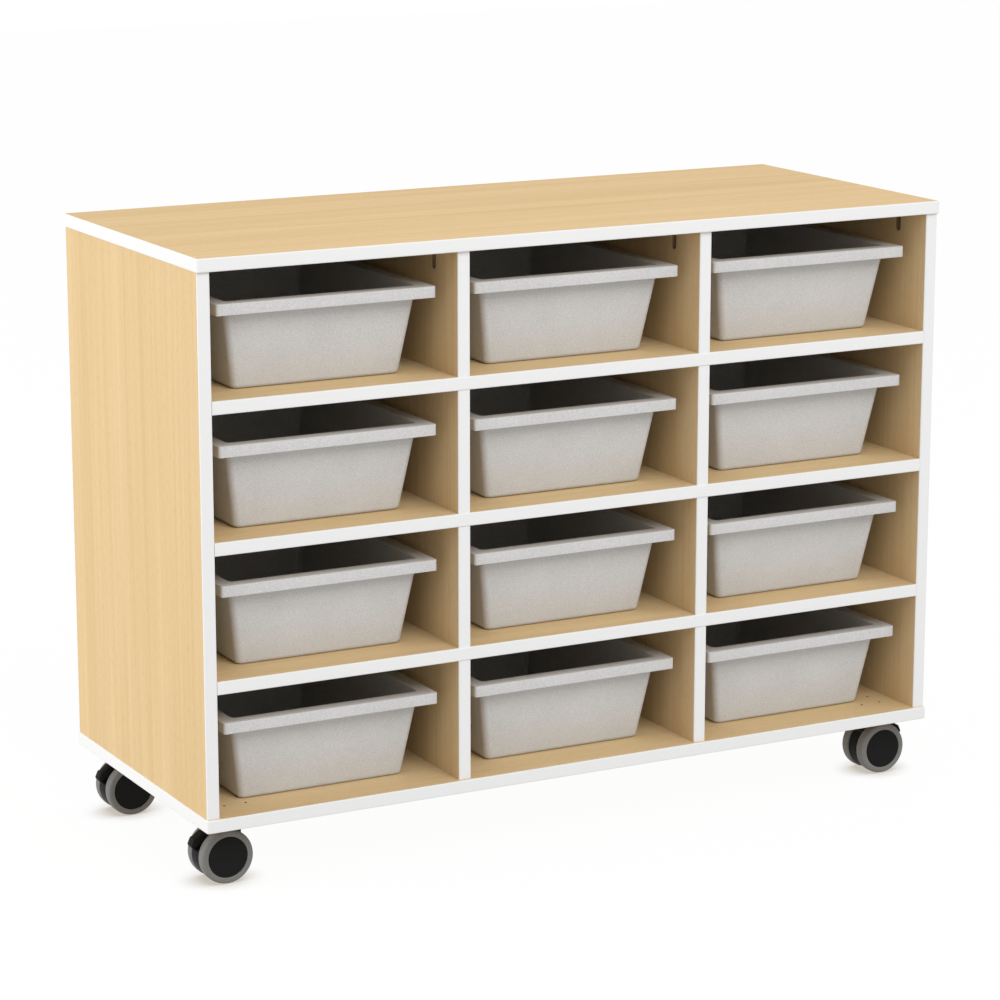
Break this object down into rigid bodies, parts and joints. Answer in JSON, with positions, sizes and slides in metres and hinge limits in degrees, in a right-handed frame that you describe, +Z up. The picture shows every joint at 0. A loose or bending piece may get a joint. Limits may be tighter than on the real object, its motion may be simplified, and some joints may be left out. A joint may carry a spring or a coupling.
{
  "type": "classroom_tray_storage_unit",
  "caption": "Maple-look classroom storage unit with white edge banding, grey pull-out trays in open bays and braked twin-wheel casters.",
  "frame": {"origin": "on the floor under the middle of the unit", "axes": "+X to the right along the length, +Y to the back, so the open front faces -Y, +Z up"},
  "size_m": [1.14, 0.467, 0.8496],
  "materials": {
    "laminate": "pale maple melamine board with a white edge band, satin",
    "tray_plastic": "light warm grey moulded plastic, finely textured",
    "black_plastic": "black moulded nylon, satin",
    "tyre_rubber": "grey soft tread",
    "plated_steel": "zinc plated"
  },
  "bodies": {
    "cabinet": {"top_board": "laminate", "bottom_board": "laminate", "left_side": "laminate", "right_side": "laminate", "back_panel": "laminate", "shelf_1": "laminate", "shelf_2": "laminate", "shelf_3": "laminate", "divider_r1_1": "laminate", "divider_r1_2": "laminate", "divider_r2_1": "laminate", "divider_r2_2": "laminate", "divider_r3_1": "laminate", "divider_r3_2": "laminate", "divider_r4_1": "laminate", "divider_r4_2": "laminate", "caster_fl_plate": "plated_steel", "caster_fr_plate": "plated_steel", "caster_bl_plate": "plated_steel", "caster_br_plate": "plated_steel"},
    "tray_r1_c1_body": {"tray_r1_c1": "tray_plastic"},
    "tray_r1_c2_body": {"tray_r1_c2": "tray_plastic"},
    "tray_r1_c3_body": {"tray_r1_c3": "tray_plastic"},
    "tray_r2_c1_body": {"tray_r2_c1": "tray_plastic"},
    "tray_r2_c2_body": {"tray_r2_c2": "tray_plastic"},
    "tray_r2_c3_body": {"tray_r2_c3": "tray_plastic"},
    "tray_r3_c1_body": {"tray_r3_c1": "tray_plastic"},
    "tray_r3_c2_body": {"tray_r3_c2": "tray_plastic"},
    "tray_r3_c3_body": {"tray_r3_c3": "tray_plastic"},
    "tray_r4_c1_body": {"tray_r4_c1": "tray_plastic"},
    "tray_r4_c2_body": {"tray_r4_c2": "tray_plastic"},
    "tray_r4_c3_body": {"tray_r4_c3": "tray_plastic"},
    "caster_fl_swivel": {"caster_fl_hood": "black_plastic", "caster_fl_axle": "plated_steel"},
    "caster_fl_pedal": {"caster_fl_brake": "black_plastic"},
    "caster_fl_roller_front": {"caster_fl_wheel_front": "black_plastic", "caster_fl_tyre_front": "tyre_rubber"},
    "caster_fl_roller_rear": {"caster_fl_wheel_rear": "black_plastic", "caster_fl_tyre_rear": "tyre_rubber"},
    "caster_fr_swivel": {"caster_fr_hood": "black_plastic", "caster_fr_axle": "plated_steel"},
    "caster_fr_pedal": {"caster_fr_brake": "black_plastic"},
    "caster_fr_roller_front": {"caster_fr_wheel_front": "black_plastic", "caster_fr_tyre_front": "tyre_rubber"},
    "caster_fr_roller_rear": {"caster_fr_wheel_rear": "black_plastic", "caster_fr_tyre_rear": "tyre_rubber"},
    "caster_bl_swivel": {"caster_bl_hood": "black_plastic", "caster_bl_axle": "plated_steel"},
    "caster_bl_pedal": {"caster_bl_brake": "black_plastic"},
    "caster_bl_roller_front": {"caster_bl_wheel_front": "black_plastic", "caster_bl_tyre_front": "tyre_rubber"},
    "caster_bl_roller_rear": {"caster_bl_wheel_rear": "black_plastic", "caster_bl_tyre_rear": "tyre_rubber"},
    "caster_br_swivel": {"caster_br_hood": "black_plastic", "caster_br_axle": "plated_steel"},
    "caster_br_pedal": {"caster_br_brake": "black_plastic"},
    "caster_br_roller_front": {"caster_br_wheel_front": "black_plastic", "caster_br_tyre_front": "tyre_rubber"},
    "caster_br_roller_rear": {"caster_br_wheel_rear": "black_plastic", "caster_br_tyre_rear": "tyre_rubber"}
  },
  "joints": [
    {"name": "tray_r1_c1_slide", "type": "slide", "parent": "cabinet", "child": "tray_r1_c1_body", "axis": [0, -1, 0], "range_m": [0, 0.45]},
    {"name": "tray_r1_c2_slide", "type": "slide", "parent": "cabinet", "child": "tray_r1_c2_body", "axis": [0, -1, 0], "range_m": [0, 0.45]},
    {"name": "tray_r1_c3_slide", "type": "slide", "parent": "cabinet", "child": "tray_r1_c3_body", "axis": [0, -1, 0], "range_m": [0, 0.45]},
    {"name": "tray_r2_c1_slide", "type": "slide", "parent": "cabinet", "child": "tray_r2_c1_body", "axis": [0, -1, 0], "range_m": [0, 0.45]},
    {"name": "tray_r2_c2_slide", "type": "slide", "parent": "cabinet", "child": "tray_r2_c2_body", "axis": [0, -1, 0], "range_m": [0, 0.45]},
    {"name": "tray_r2_c3_slide", "type": "slide", "parent": "cabinet", "child": "tray_r2_c3_body", "axis": [0, -1, 0], "range_m": [0, 0.45]},
    {"name": "tray_r3_c1_slide", "type": "slide", "parent": "cabinet", "child": "tray_r3_c1_body", "axis": [0, -1, 0], "range_m": [0, 0.45]},
    {"name": "tray_r3_c2_slide", "type": "slide", "parent": "cabinet", "child": "tray_r3_c2_body", "axis": [0, -1, 0], "range_m": [0, 0.45]},
    {"name": "tray_r3_c3_slide", "type": "slide", "parent": "cabinet", "child": "tray_r3_c3_body", "axis": [0, -1, 0], "range_m": [0, 0.45]},
    {"name": "tray_r4_c1_slide", "type": "slide", "parent": "cabinet", "child": "tray_r4_c1_body", "axis": [0, -1, 0], "range_m": [0, 0.45]},
    {"name": "tray_r4_c2_slide", "type": "slide", "parent": "cabinet", "child": "tray_r4_c2_body", "axis": [0, -1, 0], "range_m": [0, 0.45]},
    {"name": "tray_r4_c3_slide", "type": "slide", "parent": "cabinet", "child": "tray_r4_c3_body", "axis": [0, -1, 0], "range_m": [0, 0.45]},
    {"name": "caster_fl_swivel_turn", "type": "hinge", "parent": "cabinet", "child": "caster_fl_swivel", "pos_m": [-0.508, -0.1665, 0.08508], "axis": [0, 0, 1], "continuous": true},
    {"name": "caster_fl_brake_press", "type": "hinge", "parent": "caster_fl_swivel", "child": "caster_fl_pedal", "pos_m": [-0.54, -0.1665, 0.05818], "axis": [0, -1, 0], "range_deg": [0, 15]},
    {"name": "caster_fl_roll_front", "type": "hinge", "parent": "caster_fl_swivel", "child": "caster_fl_roller_front", "pos_m": [-0.524, -0.18575, 0.03718], "axis": [0, 1, 0], "continuous": true},
    {"name": "caster_fl_roll_rear", "type": "hinge", "parent": "caster_fl_swivel", "child": "caster_fl_roller_rear", "pos_m": [-0.524, -0.14725, 0.03718], "axis": [0, 1, 0], "continuous": true},
    {"name": "caster_fr_swivel_turn", "type": "hinge", "parent": "cabinet", "child": "caster_fr_swivel", "pos_m": [0.508, -0.1665, 0.08508], "axis": [0, 0, 1], "continuous": true},
    {"name": "caster_fr_brake_press", "type": "hinge", "parent": "caster_fr_swivel", "child": "caster_fr_pedal", "pos_m": [0.54, -0.1665, 0.05818], "axis": [0, 1, 0], "range_deg": [0, 15]},
    {"name": "caster_fr_roll_front", "type": "hinge", "parent": "caster_fr_swivel", "child": "caster_fr_roller_front", "pos_m": [0.524, -0.18575, 0.03718], "axis": [0, 1, 0], "continuous": true},
    {"name": "caster_fr_roll_rear", "type": "hinge", "parent": "caster_fr_swivel", "child": "caster_fr_roller_rear", "pos_m": [0.524, -0.14725, 0.03718], "axis": [0, 1, 0], "continuous": true},
    {"name": "caster_bl_swivel_turn", "type": "hinge", "parent": "cabinet", "child": "caster_bl_swivel", "pos_m": [-0.508, 0.1665, 0.08508], "axis": [0, 0, 1], "continuous": true},
    {"name": "caster_bl_brake_press", "type": "hinge", "parent": "caster_bl_swivel", "child": "caster_bl_pedal", "pos_m": [-0.54, 0.1665, 0.05818], "axis": [0, -1, 0], "range_deg": [0, 15]},
    {"name": "caster_bl_roll_front", "type": "hinge", "parent": "caster_bl_swivel", "child": "caster_bl_roller_front", "pos_m": [-0.524, 0.14725, 0.03718], "axis": [0, 1, 0], "continuous": true},
    {"name": "caster_bl_roll_rear", "type": "hinge", "parent": "caster_bl_swivel", "child": "caster_bl_roller_rear", "pos_m": [-0.524, 0.18575, 0.03718], "axis": [0, 1, 0], "continuous": true},
    {"name": "caster_br_swivel_turn", "type": "hinge", "parent": "cabinet", "child": "caster_br_swivel", "pos_m": [0.508, 0.1665, 0.08508], "axis": [0, 0, 1], "continuous": true},
    {"name": "caster_br_brake_press", "type": "hinge", "parent": "caster_br_swivel", "child": "caster_br_pedal", "pos_m": [0.54, 0.1665, 0.05818], "axis": [0, 1, 0], "range_deg": [0, 15]},
    {"name": "caster_br_roll_front", "type": "hinge", "parent": "caster_br_swivel", "child": "caster_br_roller_front", "pos_m": [0.524, 0.14725, 0.03718], "axis": [0, 1, 0], "continuous": true},
    {"name": "caster_br_roll_rear", "type": "hinge", "parent": "caster_br_swivel", "child": "caster_br_roller_rear", "pos_m": [0.524, 0.18575, 0.03718], "axis": [0, 1, 0], "continuous": true}
  ]
}
